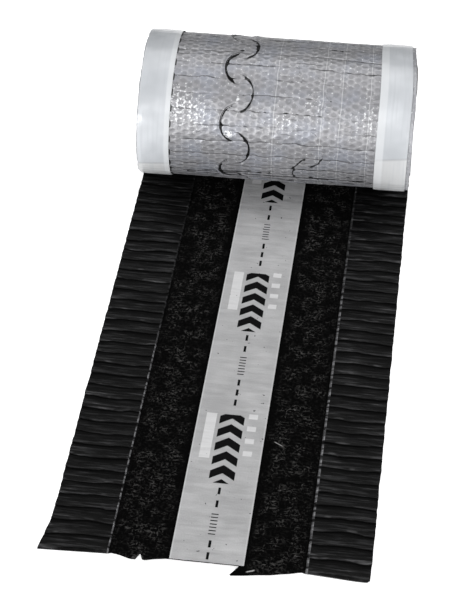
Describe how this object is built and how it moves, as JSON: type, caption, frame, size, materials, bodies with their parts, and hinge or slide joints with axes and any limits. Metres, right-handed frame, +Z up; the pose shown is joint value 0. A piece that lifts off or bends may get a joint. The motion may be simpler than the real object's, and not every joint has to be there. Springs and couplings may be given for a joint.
{
  "type": "ridge flashing roll",
  "caption": "Pleated metal ridge flashing wound into a coil, its free end laid flat, with a vent fleece, a centre strip and butyl edge bands under release liners.",
  "frame": {"origin": "on the ground, at the middle of the roll's length and width", "axes": "+X along the coil's axis, +Y from the free end towards the coil, +Z up"},
  "size_m": [0.31, 0.7422, 0.1703],
  "materials": {
    "coated_aluminium": "satin, grey outside and black inside",
    "fleece": "matte",
    "strip": "matte",
    "butyl": "tacky satin",
    "liner": "satin film"
  },
  "bodies": {
    "root": {"flashing_sheet": "coated_aluminium", "vent_fleece": "fleece", "centre_strip": "strip", "butyl_left": "butyl", "butyl_right": "butyl", "liner_left": "liner", "liner_right": "liner"}
  },
  "joints": []
}
